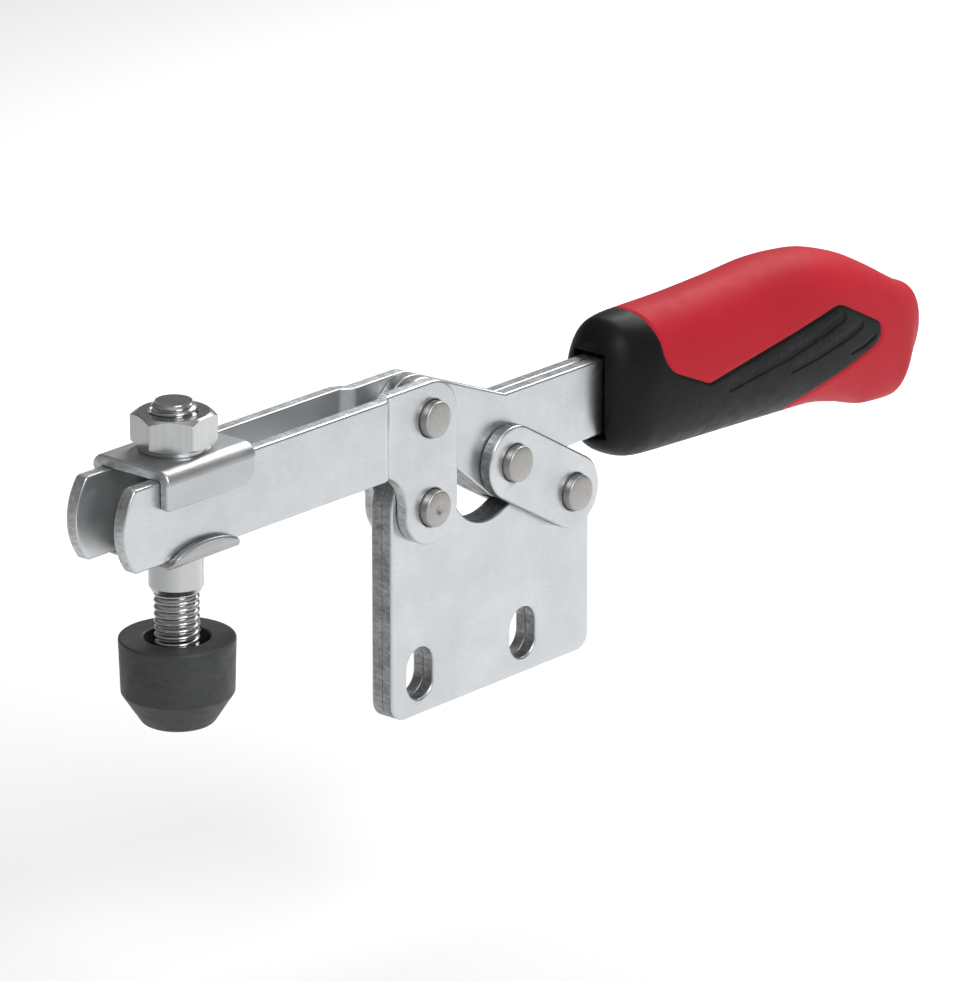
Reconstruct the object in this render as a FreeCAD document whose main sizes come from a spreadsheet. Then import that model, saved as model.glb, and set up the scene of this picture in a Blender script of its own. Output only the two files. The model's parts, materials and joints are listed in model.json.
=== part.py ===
import FreeCAD, Part
import math
import os
import re
import Sketcher

# Toggle clamp with a flat upright base, an open arm and a two-component grip.
# Millimetres. X runs along the clamp, from the clamping screw at -X to the grip at +X.
# Y is the depth, with the near side at -Y, and Z is up.
# The origin is the centre of the base slot under the main pivot, in the middle plane.
# The lengths of the plates, the arm, the lever and the screw set are given from the main pivot.

SIZES = {
    # Pivots
    "main_pivot_x": 0.5,
    "main_pivot_z": 31.6,
    "lever_pivot_rise": 16.5,
    "knee_x": 22.3,
    "knee_z": 2.6,
    "link_pivot_x": 38.8,
    "link_pivot_drop": 7.1,
    # Sheet and running fits
    "sheet": 2.5,
    "side_play": 0.1,
    "turning_play": 0.03,
    "lobe_radius": 6.8,
    # Rivet pins and bushes
    "pin_diameter": 6.8,
    "pin_stand": 1.8,
    "pin_rounding": 0.4,
    "dimple_diameter": 1.8,
    "dimple_depth": 0.5,
    "bush_wall": 1.1,
    # Base plates
    "base_front_lobe": 8.0,
    "base_rear_lobe": 7.0,
    "base_drop": 39.3,
    "base_front_corner": 3.5,
    "base_rear_corner": 3.0,
    "slot_pitch": 28.0,
    "slot_width": 7.0,
    "slot_length": 9.5,
    "recess_x": 17.7,
    "recess_z": 2.3,
    "recess_radius": 9.8,
    # Arm plates
    "bar_low": 8.5,
    "bar_high": 23.3,
    "bar_gap": 8.6,
    "arm_reach": 80.8,
    "tip_radius": 8.0,
    "joggle_front": 14.0,
    "joggle_rear": 11.3,
    "throat_radius": 7.2,
    # Lever plates
    "strip_low": 0.6,
    "strip_high": 14.9,
    "shoulder_x": 22.6,
    "nose_radius": 6.9,
    "nose_blend": 1.0,
    "chin_x": 9.9,
    "chin_z": 4.6,
    "chin_radius": 0.6,
    "relief_radius": 9.3,
    "tang_reach": 100.0,
    # Room that the knee pin needs in the lever plates on its way, measured from the knee
    # along the line to the lever pivot, and to the low and the high side of that line
    "way_length": 8.2,
    "way_low": 2.5,
    "way_high": 1.2,
    "waist_diameter": 4.0,
    "waist_play": 0.25,
    # Screw set on the arm
    "screw_reach": 60.3,
    "screw_diameter": 8.0,
    "screw_top": 33.7,
    "screw_length": 45.0,
    "screw_chamfer": 0.7,
    "screw_play": 0.05,
    "washer_play": 0.3,
    "hex_width": 13.0,
    "hex_turn": 5.0,
    "head_height": 5.3,
    "nut_height": 6.5,
    "nut_crown": 6.2,
    "nut_crown_drop": 0.7,
    "nut_mouth": 0.5,
    "saddle_sheet": 2.0,
    "saddle_length": 21.8,
    "saddle_flap": 4.6,
    "saddle_bend": 2.4,
    "saddle_corner": 2.6,
    "washer_diameter": 24.0,
    "washer_sheet": 2.0,
    "lip_chord": 17.0,
    "lip_top": 11.3,
    "collar_diameter": 9.6,
    "collar_length": 6.5,
    "collar_chamfer": 1.0,
    # Rubber cap
    "cap_top": -8.6,
    "cap_crease": -18.5,
    "cap_low": -24.1,
    "cap_rim_radius": 10.15,
    "cap_waist_radius": 9.85,
    "cap_foot_radius": 6.9,
    "cap_rim_rounding": 0.8,
    "cap_foot_rounding": 1.4,
    "cap_mouth_radius": 5.75,
    # Grip
    "sleeve_wall": 2.2,
    "mouth_width": 9.0,
    "mouth_margin": 1.0,
    "mouth_depth": 2.6,
    # Edge of the soft sleeve seen from the side
    "collar_edge_x": 59.9,
    "collar_edge_z": 14.8,
    "collar_edge_radius": 5.0,
    "collar_top_x": 56.2,
    "collar_top_z": 22.6,
    "dip_x": 72.0,
    "dip_z": 6.2,
    "dip_radius": 3.0,
    "tongue_crest_x": 110.2,
    "tongue_crest_z": 12.6,
    "tongue_crest_radius": 3.0,
    "tongue_tip_x": 123.0,
    "tongue_tip_z": 4.3,
    "tongue_tip_radius": 2.8,
    "tongue_root_x": 94.0,
    "tongue_root_z": -4.0,
    "belly_edge_x": 88.0,
}

# Sections of the grip from its mouth to its end: distance, top, bottom and half width
GRIP_SECTIONS = [
    (48.2, 19.5, -0.9, 5.0),
    (49.6, 21.3, -2.8, 6.9),
    (52.6, 22.1, -4.4, 8.5),
    (57.5, 22.1, -6.0, 9.2),
    (70.0, 22.1, -6.8, 9.6),
    (85.0, 22.6, -7.6, 9.8),
    (97.0, 23.1, -8.1, 10.0),
    (108.0, 22.1, -8.7, 10.0),
    (117.5, 19.4, -10.1, 9.6),
    (126.5, 15.3, -12.8, 9.0),
    (133.0, 11.7, -13.4, 8.3),
    (137.0, 9.6, -9.0, 6.9),
    (140.0, 8.1, -4.8, 5.0),
    (141.4, 5.7, -0.9, 2.6),
]
SECTION_PARTS = ("x", "top", "low", "half")

# Margin by which a cutting shape passes the faces that it cuts
BEYOND = 5.0

doc = FreeCAD.newDocument("ToggleClamp")
sheet = doc.addObject("Spreadsheet::Sheet", "Sizes")


def fill_sheet():
    """Write each size into a cell of its own and name the cell."""
    for index, section in enumerate(GRIP_SECTIONS, start=1):
        for part, size in zip(SECTION_PARTS, section):
            SIZES[f"grip_{part}_{index}"] = size
    for row, (name, size) in enumerate(SIZES.items(), start=1):
        sheet.set(f"A{row}", name)
        sheet.set(f"B{row}", str(size))
        sheet.setAlias(f"B{row}", name)
    doc.recompute()


def bound(text):
    """Write the sheet's name before each size that the expression names."""
    return re.sub(r"[a-z_][a-z0-9_]*",
                  lambda word: f"Sizes.{word[0]}" if word[0] in SIZES else word[0], text)


def number(text):
    """Value of an expression at the sizes in the sheet."""
    return float(sheet.evalExpression(bound(text)))


def bind(thing, prop, text):
    """Tie a property of an object to an expression."""
    thing.setExpression(prop, bound(text))


def place(thing, x="main_pivot_x", y="0", z="main_pivot_z"):
    """Put an object at a point given by expressions."""
    thing.Placement = FreeCAD.Placement(
        FreeCAD.Vector(number(x), number(y), number(z)), thing.Placement.Rotation)
    for axis, text in (("x", x), ("y", y), ("z", z)):
        bind(thing, f"Placement.Base.{axis}", text)


def new_body(label):
    body = doc.addObject("PartDesign::Body", label)
    body.Label = label
    return body


def new_sketch(body, plane="XZ_Plane"):
    """Sketch on one of the body's own origin planes."""
    sketch = body.newObject("Sketcher::SketchObject", f"{body.Name}_sketch")
    origin = next(item for item in body.Origin.OriginFeatures if item.Role == plane)
    sketch.AttachmentSupport = (origin, [""])
    sketch.MapMode = "FlatFace"
    return sketch


def hold(sketch, kind, target, text):
    """Add a dimension to a sketch and tie it to an expression."""
    index = sketch.addConstraint(Sketcher.Constraint(kind, *target, number(text)))
    bind(sketch, f"Constraints[{index}]", text)


def add_circle(sketch, x, y, radius):
    centre = FreeCAD.Vector(number(x), number(y), 0)
    up = FreeCAD.Vector(0, 0, 1)
    item = sketch.addGeometry(Part.Circle(centre, up, number(radius)))
    hold(sketch, "DistanceX", (item, 3), x)
    hold(sketch, "DistanceY", (item, 3), y)
    hold(sketch, "Radius", (item,), radius)


def belt_line(first, second):
    """End points of the straight that leaves one disc and meets the next."""
    reach = second["centre"] - first["centre"]
    lean = math.asin((second["side"] - first["side"]) / reach.Length)
    heading = math.atan2(reach.y, reach.x) - lean
    normal = FreeCAD.Vector(-math.sin(heading), math.cos(heading), 0)
    return (first["centre"] - normal * first["side"],
            second["centre"] - normal * second["side"])


def add_belt(sketch, discs):
    """Closed outline, run anticlockwise like a belt round discs.

    Each disc is (x, y, radius, turn) in expressions: turn 1 bulges outwards and -1 inwards.
    A disc with only x and y is a sharp corner.
    """
    wheels = []
    for disc in discs:
        x, y = disc[:2]
        radius, turn = disc[2:] if len(disc) == 4 else ("0", 1)
        wheels.append({"texts": (x, y, radius), "turn": turn, "sharp": len(disc) == 2,
                       "centre": FreeCAD.Vector(number(x), number(y), 0),
                       "side": turn * number(radius)})
    count = len(wheels)
    ends = [belt_line(wheels[i], wheels[(i + 1) % count]) for i in range(count)]
    lines = [sketch.addGeometry(Part.LineSegment(*pair)) for pair in ends]
    for i, wheel in enumerate(wheels):
        before = (lines[i - 1], 2)
        after = (lines[i], 1)
        x, y, radius = wheel["texts"]
        if wheel["sharp"]:
            sketch.addConstraint(Sketcher.Constraint("Coincident", *before, *after))
            hold(sketch, "DistanceX", after, x)
            hold(sketch, "DistanceY", after, y)
            continue
        arrive = ends[i - 1][1] - wheel["centre"]
        leave = ends[i][0] - wheel["centre"]
        if wheel["turn"] < 0:
            arrive, leave = leave, arrive
        circle = Part.Circle(wheel["centre"], FreeCAD.Vector(0, 0, 1), abs(wheel["side"]))
        start = math.atan2(arrive.y, arrive.x)
        stop = math.atan2(leave.y, leave.x)
        arc = sketch.addGeometry(Part.ArcOfCircle(circle, start, stop))
        first, last = (1, 2) if wheel["turn"] > 0 else (2, 1)
        sketch.addConstraint(Sketcher.Constraint("Tangent", *before, arc, first))
        sketch.addConstraint(Sketcher.Constraint("Tangent", arc, last, *after))
        hold(sketch, "DistanceX", (arc, 3), x)
        hold(sketch, "DistanceY", (arc, 3), y)
        hold(sketch, "Radius", (arc,), radius)


def add_box(sketch, left, low, right, high):
    add_belt(sketch, [(left, low), (right, low), (right, high), (left, high)])


def pad(body, sketch, length, side="Symmetric", reverse=False):
    feature = body.newObject("PartDesign::Pad", f"{body.Name}_pad")
    feature.Profile = sketch
    feature.SideType = side
    feature.Reversed = reverse
    bind(feature, "Length", length)
    doc.recompute()
    return feature


def pocket(body, sketch):
    """Cut the sketch right through the body, and make sure that it took material away."""
    before = body.Shape.Volume
    feature = body.newObject("PartDesign::Pocket", f"{body.Name}_pocket")
    feature.Profile = sketch
    feature.SideType = "Two sides"
    feature.Type = "ThroughAll"
    feature.Type2 = "ThroughAll"
    doc.recompute()
    if body.Shape.Volume >= before:
        raise ValueError(f"{body.Label}: a pocket cut nothing")
    return feature


def revolve(body, sketch):
    feature = body.newObject("PartDesign::Revolution", f"{body.Name}_turned")
    feature.Profile = sketch
    feature.ReferenceAxis = (sketch, ["V_Axis"])
    feature.Angle = 360
    doc.recompute()
    return feature


def hexagon(sketch, turn="hex_turn"):
    """Six corners of the nut's and the screw head's outline."""
    corner = "hex_width / 2 / cos(30)"
    add_belt(sketch, [(f"{corner} * cos({turn} + {60 * i})", f"{corner} * sin({turn} + {60 * i})")
                      for i in range(6)])


PIN_RADIUS = "pin_diameter / 2"
BUSH_RADIUS = "pin_diameter / 2 + turning_play + bush_wall"
OUTER_LAYER = "sheet * 1.5 + side_play"
OUTER_FACE = "(sheet * 2 + side_play)"
BAR_FACE = "(bar_gap / 2 + sheet)"
SIDES = {"near": -1, "far": 1}


def make_base_plate(label, side):
    """Upright sheet with two lobes, a recess between them and two upright slots."""
    left = "-base_front_lobe"
    right = "link_pivot_x + base_rear_lobe"
    body = new_body(label)
    outline = new_sketch(body)
    add_belt(outline, [
        ("0", "0", "base_front_lobe", 1),
        (f"{left} + base_front_corner", "-base_drop + base_front_corner", "base_front_corner", 1),
        (f"{right} - base_rear_corner", "-base_drop + base_rear_corner", "base_rear_corner", 1),
        ("link_pivot_x", "-link_pivot_drop", "base_rear_lobe", 1),
        ("recess_x", "recess_z", "recess_radius", -1),
    ])
    pad(body, outline, "sheet")
    holes = new_sketch(body)
    add_circle(holes, "0", "0", BUSH_RADIUS)
    add_circle(holes, "link_pivot_x", "-link_pivot_drop", BUSH_RADIUS)
    for x in ("-main_pivot_x", "slot_pitch - main_pivot_x"):
        half = "(slot_length - slot_width) / 2"
        add_belt(holes, [(x, f"-main_pivot_z - {half}", "slot_width / 2", 1),
                         (x, f"-main_pivot_z + {half}", "slot_width / 2", 1)])
    pocket(body, holes)
    place(body, y=f"{side} * sheet / 2")
    return body


def make_arm_plate(label, side):
    """Sheet with two pivots, joggled outwards to one bar of the open arm."""
    body = new_body(label)
    plan = new_sketch(body, "XY_Plane")
    inner = f"{side} * (sheet + side_play)"
    outer = f"{side} * {OUTER_FACE}"
    bar_inner = f"{side} * bar_gap / 2"
    bar_outer = f"{side} * {BAR_FACE}"
    path = [(f"-arm_reach - {BEYOND}", bar_inner), ("-joggle_front", bar_inner),
            ("-joggle_rear", inner), (f"lobe_radius + {BEYOND}", inner),
            (f"lobe_radius + {BEYOND}", outer), ("-joggle_rear", outer),
            ("-joggle_front", bar_outer), (f"-arm_reach - {BEYOND}", bar_outer)]
    add_belt(plan, path[::side])
    pad(body, plan, f"2 * (bar_high + {BEYOND})")
    trim = new_sketch(body)
    wide = f"arm_reach + {2 * BEYOND}"
    tall = f"bar_high + {2 * BEYOND}"
    add_box(trim, f"-({wide})", f"-({tall})", wide, tall)
    add_belt(trim, [
        ("0", "0", "lobe_radius", 1),
        ("0", "lever_pivot_rise", "lobe_radius", 1),
        ("-arm_reach", "bar_high"),
        ("-arm_reach", "bar_low"),
        ("-joggle_front", "bar_low - throat_radius", "throat_radius", -1),
    ])
    pocket(body, trim)
    tip = new_sketch(body)
    add_tip_waste(tip)
    pocket(body, tip)
    holes = new_sketch(body)
    add_circle(holes, "0", "0", PIN_RADIUS)
    add_circle(holes, "0", "lever_pivot_rise", PIN_RADIUS)
    pocket(body, holes)
    place(body)
    return body


def add_tip_waste(sketch):
    """What lies beyond the round end of a bar."""
    x = number("tip_radius - arm_reach")
    z = number("(bar_low + bar_high) / 2")
    radius = number("tip_radius")
    reach = radius + BEYOND
    circle = Part.Circle(FreeCAD.Vector(x, z, 0), FreeCAD.Vector(0, 0, 1), radius)
    arc = sketch.addGeometry(Part.ArcOfCircle(circle, math.pi / 2, math.pi * 3 / 2))
    corners = [(x, z - radius), (x, z - reach), (x - reach, z - reach),
               (x - reach, z + reach), (x, z + reach), (x, z + radius)]
    points = [FreeCAD.Vector(px, pz, 0) for px, pz in corners]
    lines = [sketch.addGeometry(Part.LineSegment(*pair)) for pair in zip(points, points[1:])]
    for first, second in zip(lines, lines[1:]):
        sketch.addConstraint(Sketcher.Constraint("Coincident", first, 2, second, 1))
    sketch.addConstraint(Sketcher.Constraint("Coincident", arc, 2, lines[0], 1))
    sketch.addConstraint(Sketcher.Constraint("Coincident", lines[-1], 2, arc, 1))
    for line in (lines[0], lines[2], lines[4]):
        sketch.addConstraint(Sketcher.Constraint("Vertical", line))
    for line in (lines[1], lines[3]):
        sketch.addConstraint(Sketcher.Constraint("Horizontal", line))
    sketch.addConstraint(Sketcher.Constraint("Vertical", arc, 1, arc, 3))
    hold(sketch, "DistanceX", (arc, 3), "tip_radius - arm_reach")
    hold(sketch, "DistanceY", (arc, 3), "(bar_low + bar_high) / 2")
    hold(sketch, "Radius", (arc,), "tip_radius")
    hold(sketch, "DistanceY", (lines[0], 2, lines[0], 1), str(BEYOND))
    hold(sketch, "DistanceY", (lines[4], 2, lines[4], 1), str(BEYOND))
    hold(sketch, "DistanceX", (lines[1], 2, lines[1], 1), f"tip_radius + {BEYOND}")


def make_lever_plate(label, side):
    """Cranked sheet from the lever pivot over the knee and into the grip."""
    body = new_body(label)
    outline = new_sketch(body)
    drop = "(knee_z - strip_low + nose_blend)"
    reach = "(nose_radius + nose_blend)"
    blend_x = f"knee_x + sqrt({reach} ^ 2 - {drop} ^ 2) + side_play"
    add_belt(outline, [
        ("0", "lever_pivot_rise", "lobe_radius", 1),
        ("0", "0", "relief_radius", -1),
        ("chin_x", "chin_z", "chin_radius", 1),
        ("knee_x", "knee_z", "nose_radius", 1),
        (blend_x, "strip_low - nose_blend", "nose_blend", -1),
        ("tang_reach", "strip_low"),
        ("tang_reach", "strip_high"),
        ("shoulder_x", "strip_high"),
    ])
    pad(body, outline, "sheet")
    holes = new_sketch(body)
    add_circle(holes, "0", "lever_pivot_rise", BUSH_RADIUS)
    add_knee_way(holes)
    pocket(body, holes)
    place(body, y=f"{side} * sheet / 2")
    return body


def add_knee_way(sketch):
    """Opening in which the waist of the knee pin travels."""
    rise = "(lever_pivot_rise - knee_z)"
    span = f"sqrt(knee_x ^ 2 + {rise} ^ 2)"
    radius = "waist_diameter / 2 + waist_play"
    stops = [("0", "0"), ("0.3 * way_length", "-way_high"), ("0.7 * way_length", "-way_high"),
             ("0.95 * way_length", "-0.15 * way_high"), ("way_length", "0.33 * way_low"),
             ("0.93 * way_length", "0.82 * way_low"), ("0.68 * way_length", "way_low"),
             ("0.3 * way_length", "0.8 * way_low")]
    discs = []
    for along, aside in stops:
        x = f"knee_x - (({along}) * knee_x + ({aside}) * {rise}) / {span}"
        z = f"knee_z + (({along}) * {rise} - ({aside}) * knee_x) / {span}"
        discs.append((x, z, radius, 1))
    add_belt(sketch, discs)


def make_link(label, side):
    """Short sheet from the knee to the link pivot."""
    ends = [("knee_x", "knee_z"), ("link_pivot_x", "-link_pivot_drop")]
    body = new_body(label)
    outline = new_sketch(body)
    add_belt(outline, [(x, z, "lobe_radius", 1) for x, z in ends])
    pad(body, outline, "sheet")
    holes = new_sketch(body)
    for x, z in ends:
        add_circle(holes, x, z, PIN_RADIUS)
    pocket(body, holes)
    place(body, y=f"{side} * ({OUTER_LAYER})")
    return body


def make_pin(label, x, z, dimple=False, waist=False):
    """Rivet pin with its ends standing out on both sides."""
    body = new_body(label)
    profile = new_sketch(body, "XY_Plane")
    half = f"{OUTER_FACE} + pin_stand"
    radius = PIN_RADIUS
    corner = "pin_rounding"
    ends = {}
    for sign in (-1, 1):
        depth = f"{sign} * ({half} - {corner})"
        flat = [("0", f"{sign} * ({half})")]
        if dimple:
            flat = [("0", f"{sign} * ({half} - dimple_depth)"),
                    ("dimple_diameter / 2", f"{sign} * ({half})")]
        ends[sign] = flat + [(f"{radius} - {corner}", depth, corner, 1)]
    middle = []
    if waist:
        thin = "waist_diameter / 2"
        middle = [(radius, "-(sheet + side_play)"), (thin, "-(sheet + side_play)"),
                  (thin, "sheet + side_play"), (radius, "sheet + side_play")]
    add_belt(profile, ends[-1] + middle + ends[1][::-1])
    revolve(body, profile)
    place(body, x=f"main_pivot_x + ({x})", z=f"main_pivot_z + ({z})")
    return body


def make_bush(label, x, z):
    """Plain bearing bush, as wide as the two sheets that it is pressed into."""
    body = new_body(label)
    ring = new_sketch(body)
    add_circle(ring, "0", "0", BUSH_RADIUS)
    add_circle(ring, "0", "0", "pin_diameter / 2 + turning_play")
    pad(body, ring, "2 * sheet")
    place(body, x=f"main_pivot_x + ({x})", z=f"main_pivot_z + ({z})")
    return body


SCREW_X = "main_pivot_x - screw_reach"
NUT_SEAT = "(bar_high + saddle_sheet)"
WASHER_SEAT = "(bar_low - washer_sheet)"
HEAD_SEAT = "(screw_top - screw_length)"
CLEAR_HOLE = "screw_diameter / 2 + washer_play"
THREAD_HOLE = "screw_diameter / 2 + screw_play"
FLAP_FACE = f"({BAR_FACE} + side_play)"


def make_screw():
    """Clamping screw with its head down in the cap."""
    body = new_body("clamping_screw")
    shank = new_sketch(body)
    add_belt(shank, [
        ("0", HEAD_SEAT),
        ("screw_diameter / 2", HEAD_SEAT),
        ("screw_diameter / 2", "screw_top - screw_chamfer"),
        ("screw_diameter / 2 - screw_chamfer", "screw_top"),
        ("0", "screw_top"),
    ])
    revolve(body, shank)
    head = new_sketch(body, "XY_Plane")
    head.AttachmentOffset.Base.z = number(HEAD_SEAT)
    bind(head, "AttachmentOffset.Base.z", HEAD_SEAT)
    hexagon(head)
    pad(body, head, "head_height", "One side", reverse=True)
    place(body, x=SCREW_X)
    return body


def make_nut():
    """Hexagon nut: a turned blank with chamfered rims, cut to six sides and bored."""
    corner = "hex_width / 2 / cos(30)"
    low = NUT_SEAT
    high = f"{NUT_SEAT} + nut_height"
    body = new_body("hex_nut")
    blank = new_sketch(body)
    add_belt(blank, [
        (THREAD_HOLE, f"{low} + nut_mouth"),
        (f"{THREAD_HOLE} + nut_mouth", low),
        ("nut_crown", low),
        (corner, f"{low} + nut_crown_drop"),
        (corner, f"{high} - nut_crown_drop"),
        ("nut_crown", high),
        (f"{THREAD_HOLE} + nut_mouth", high),
        (THREAD_HOLE, f"{high} - nut_mouth"),
    ])
    revolve(body, blank)
    flats = new_sketch(body, "XY_Plane")
    add_circle(flats, "0", "0", f"hex_width + {BEYOND}")
    hexagon(flats)
    pocket(body, flats)
    place(body, x=SCREW_X)
    return body


def make_saddle():
    """Sheet folded down over the outside of both bars, with the nut on top."""
    body = new_body("saddle_washer")
    section = new_sketch(body, "YZ_Plane")
    outer = f"({FLAP_FACE} + saddle_sheet)"
    bottom = "(bar_high - saddle_flap)"
    bend = f"({outer} - saddle_bend)"
    add_belt(section, [
        (outer, bottom),
        (bend, f"{NUT_SEAT} - saddle_bend", "saddle_bend", 1),
        (f"-{bend}", f"{NUT_SEAT} - saddle_bend", "saddle_bend", 1),
        (f"-{outer}", bottom),
        (f"-{FLAP_FACE}", bottom),
        (f"-{FLAP_FACE}", "bar_high"),
        (FLAP_FACE, "bar_high"),
        (FLAP_FACE, bottom),
    ])
    pad(body, section, "saddle_length")
    corners = new_sketch(body)
    half = "saddle_length / 2"
    wide = f"{half} + {BEYOND}"
    top = f"{NUT_SEAT} + {BEYOND}"
    add_box(corners, f"-({wide})", f"{bottom} - {BEYOND}", wide, top)
    add_belt(corners, [
        (f"-{half} + saddle_corner", f"{bottom} + saddle_corner", "saddle_corner", 1),
        (f"{half} - saddle_corner", f"{bottom} + saddle_corner", "saddle_corner", 1),
        (half, f"{NUT_SEAT} + {BEYOND / 2}"),
        (f"-{half}", f"{NUT_SEAT} + {BEYOND / 2}"),
    ])
    pocket(body, corners)
    hole = new_sketch(body, "XY_Plane")
    add_circle(hole, "0", "0", CLEAR_HOLE)
    pocket(body, hole)
    place(body, x=SCREW_X)
    return body


def make_flanged_washer():
    """Round washer whose two side segments are bent up outside the bars."""
    depth = "washer_diameter"
    disc = doc.addObject("Part::Cylinder", "washer_disc")
    bind(disc, "Radius", "washer_diameter / 2")
    bind(disc, "Height", "washer_sheet")
    place(disc, x="0", z=WASHER_SEAT)
    strip = new_box("washer_strip", "washer_diameter", f"2 * {FLAP_FACE}", "washer_sheet",
                    z=WASHER_SEAT)
    plate = join("Part::Common", "washer_plate", disc, strip)
    pieces = [plate]
    for name, side in SIDES.items():
        lip = new_box(f"lip_{name}", "lip_chord", "washer_sheet", f"lip_top - {WASHER_SEAT}",
                      y=f"{side} * ({FLAP_FACE} + washer_sheet / 2)", z=WASHER_SEAT)
        round_top = doc.addObject("Part::Cylinder", f"lip_round_{name}")
        bind(round_top, "Radius", "washer_diameter / 2")
        bind(round_top, "Height", depth)
        round_top.Placement.Rotation = FreeCAD.Rotation(FreeCAD.Vector(1, 0, 0), 90)
        place(round_top, x="0", y=f"{depth} / 2", z="lip_top - washer_diameter / 2")
        pieces.append(join("Part::Common", f"lip_shape_{name}", lip, round_top))
    whole = doc.addObject("Part::MultiFuse", "washer_whole")
    whole.Shapes = pieces
    hole = doc.addObject("Part::Cylinder", "washer_hole")
    bind(hole, "Radius", CLEAR_HOLE)
    bind(hole, "Height", f"washer_sheet + 2 * {BEYOND}")
    place(hole, x="0", z=f"{WASHER_SEAT} - {BEYOND}")
    washer = join("Part::Cut", "flanged_washer", whole, hole)
    place(washer, x=SCREW_X)
    return washer


def new_box(name, length, width, height, x="0", y="0", z="0"):
    """Box centred on x and y that stands on z."""
    box = doc.addObject("Part::Box", name)
    bind(box, "Length", length)
    bind(box, "Width", width)
    bind(box, "Height", height)
    place(box, x=f"({x}) - ({length}) / 2", y=f"({y}) - ({width}) / 2", z=z)
    return box


def join(kind, name, base, tool):
    """Part boolean of two objects."""
    result = doc.addObject(kind, name)
    result.Label = name
    result.Base = base
    result.Tool = tool
    return result


def make_collar():
    """Threaded collar between the flanged washer and the cap."""
    body = new_body("threaded_collar")
    section = new_sketch(body)
    low = f"{WASHER_SEAT} - collar_length"
    outer = "collar_diameter / 2"
    add_belt(section, [
        (THREAD_HOLE, low),
        (f"{outer} - collar_chamfer / 2", low),
        (outer, f"{low} + collar_chamfer"),
        (outer, WASHER_SEAT),
        (THREAD_HOLE, WASHER_SEAT),
    ])
    revolve(body, section)
    place(body, x=SCREW_X)
    return body


def make_cap():
    """Rubber cap pressed over the head of the screw."""
    body = new_body("rubber_cap")
    section = new_sketch(body)
    rim = "cap_rim_rounding"
    foot = "cap_foot_rounding"
    head_low = f"{HEAD_SEAT} - head_height"
    add_belt(section, [
        ("0", "cap_low"),
        (f"cap_foot_radius - {foot}", f"cap_low + {foot}", foot, 1),
        ("cap_waist_radius", "cap_crease"),
        (f"cap_rim_radius - {rim}", f"cap_top - {rim}", rim, 1),
        ("cap_mouth_radius", "cap_top"),
        ("cap_mouth_radius", HEAD_SEAT),
        ("0", HEAD_SEAT),
    ])
    revolve(body, section)
    before = body.Shape.Volume
    seat = new_sketch(body, "XY_Plane")
    seat.AttachmentOffset.Base.z = number(head_low)
    bind(seat, "AttachmentOffset.Base.z", head_low)
    hexagon(seat)
    feature = body.newObject("PartDesign::Pocket", "cap_seat")
    feature.Profile = seat
    feature.SideType = "One side"
    feature.Reversed = True
    bind(feature, "Length", "head_height")
    doc.recompute()
    if body.Shape.Volume >= before:
        raise ValueError("rubber_cap: the seat of the screw head cut nothing")
    place(body, x=SCREW_X)
    return body


def make_loft(name, first, inset):
    """Loft through the grip's sections from the first one on, drawn in by the inset."""
    rings = []
    for i in range(first, len(GRIP_SECTIONS) + 1):
        ring = doc.addObject("Part::Ellipse", f"{name}_{i}")
        bind(ring, "MajorRadius", f"(grip_top_{i} - grip_low_{i}) / 2 - {inset}")
        bind(ring, "MinorRadius", f"grip_half_{i} - {inset}")
        ring.Placement.Rotation = FreeCAD.Rotation(FreeCAD.Vector(0, 1, 0), -90)
        place(ring, x=f"grip_x_{i}", z=f"(grip_top_{i} + grip_low_{i}) / 2")
        rings.append(ring)
    loft = doc.addObject("Part::Loft", name)
    loft.Sections = rings
    loft.Solid = True
    return loft


def make_grip():
    """Hard grip body with a soft sleeve moulded over its front and into both sides."""
    outer = make_loft("grip_outer", 1, "0")
    core = make_loft("grip_core", 3, "sleeve_wall")
    region = new_body("sleeve_region")
    side_view = new_sketch(region)
    left = f"grip_x_1 - {BEYOND}"
    bottom = f"grip_low_10 - {2 * BEYOND}"
    top = f"grip_top_6 + {BEYOND}"
    add_belt(side_view, [
        (left, bottom),
        ("belly_edge_x", bottom),
        ("tongue_root_x", "tongue_root_z"),
        ("tongue_tip_x - tongue_tip_radius", "tongue_tip_z", "tongue_tip_radius", 1),
        ("tongue_crest_x", "tongue_crest_z - tongue_crest_radius", "tongue_crest_radius", 1),
        ("dip_x", "dip_z + dip_radius", "dip_radius", -1),
        ("collar_edge_x + collar_edge_radius", "collar_edge_z", "collar_edge_radius", -1),
        ("collar_top_x", "collar_top_z"),
        ("collar_top_x", top),
        (left, top),
    ])
    pad(region, side_view, "4 * grip_half_7")
    front = join("Part::Common", "sleeve_blank", outer, region)
    shell = join("Part::Cut", "sleeve_shell", front, core)
    hard = join("Part::Cut", "grip_blank", outer, shell)
    height = "(strip_high - strip_low)"
    tang = new_box("tang_space", "tang_reach", "2 * sheet", height,
                   x="tang_reach / 2", z="strip_low")
    mouth_end = "(grip_x_1 + mouth_depth)"
    mouth = new_box("grip_mouth", mouth_end, "mouth_width", f"{height} + 2 * mouth_margin",
                    x=f"{mouth_end} / 2", z="strip_low - mouth_margin")
    space = join("Part::Fuse", "lever_space", tang, mouth)
    sleeve = join("Part::Cut", "grip_sleeve", shell, space)
    body = join("Part::Cut", "grip_body", hard, space)
    for piece in (sleeve, body):
        place(piece)
    return [body, sleeve]


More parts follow.
